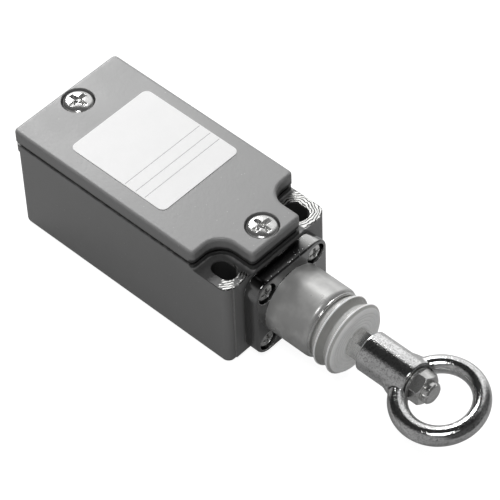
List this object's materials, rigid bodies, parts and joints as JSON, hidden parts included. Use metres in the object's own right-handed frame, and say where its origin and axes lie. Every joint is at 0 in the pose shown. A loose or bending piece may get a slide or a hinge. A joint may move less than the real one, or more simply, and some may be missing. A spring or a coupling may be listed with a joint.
{
  "type": "rope pull switch",
  "caption": "Rope pull switch: small metal switch box with a screwed cover, a round pull head with bellows, and a ring eye on a spring-returned rod.",
  "frame": {"origin": "on the flat back of the housing, midway between the two mounting slots", "axes": "+X the way the eye is pulled, +Y across the width, +Z from the mounting face to the cover"},
  "size_m": [0.1195, 0.0312, 0.0293],
  "materials": {
    "housing_paint": "mid grey enamel with fine orange peel, bare scraped metal around the slots",
    "cover_paint": "mid grey satin enamel with fine orange peel",
    "gasket_rubber": "matt black",
    "zinc_steel": "bright zinc plated",
    "label_white": "plain white film with thin ruled lines",
    "nickel_plate": "satin nickel plate, glossy on the flange",
    "bush_brass": "turned",
    "silicone": "milky translucent silicone",
    "spring_steel": "bright drawn wire",
    "block_plastic": "black moulded plastic",
    "carrier_plastic": "natural moulded plastic",
    "contact_brass": "stamped, with silver rivets",
    "eye_chrome": "bright chrome plate on a forging"
  },
  "bodies": {
    "case": {"housing": "housing_paint", "cover_gasket": "gasket_rubber", "cover": "cover_paint", "cover_screws": "zinc_steel", "label": "label_white", "pull_head": "nickel_plate", "head_gasket": "gasket_rubber", "head_screws": "zinc_steel", "guide_bush": "bush_brass", "bellows_clamp_ring": "nickel_plate", "bellows": "silicone", "return_spring": "spring_steel", "contact_block_base": "block_plastic", "contact_block_lid": "block_plastic", "nc_terminals": "contact_brass", "no_terminals": "contact_brass", "terminal_clamps": "zinc_steel", "terminal_screws": "zinc_steel", "block_screws": "zinc_steel", "earth_clamp": "zinc_steel", "earth_screw": "zinc_steel"},
    "pull_slide": {"pull_rod": "zinc_steel", "spring_collar": "zinc_steel", "retaining_clip": "spring_steel", "contact_carrier": "carrier_plastic", "nc_bridge": "contact_brass", "no_bridge": "contact_brass", "contact_springs": "spring_steel", "eye_washer": "zinc_steel", "eye_nut": "zinc_steel"},
    "pull_eye": {"ring_eye": "eye_chrome"}
  },
  "joints": [
    {"name": "rod_pull", "type": "slide", "parent": "case", "child": "pull_slide", "axis": [1, 0, 0], "range_m": [0, 0.006], "stiffness_N_per_m": 1000, "springref_m": -0.005, "deforming": ["return_spring", "bellows"]},
    {"name": "eye_swivel", "type": "hinge", "parent": "pull_slide", "child": "pull_eye", "pos_m": [0.0371, 0, 0.0124], "axis": [1, 0, 0], "continuous": true}
  ]
}
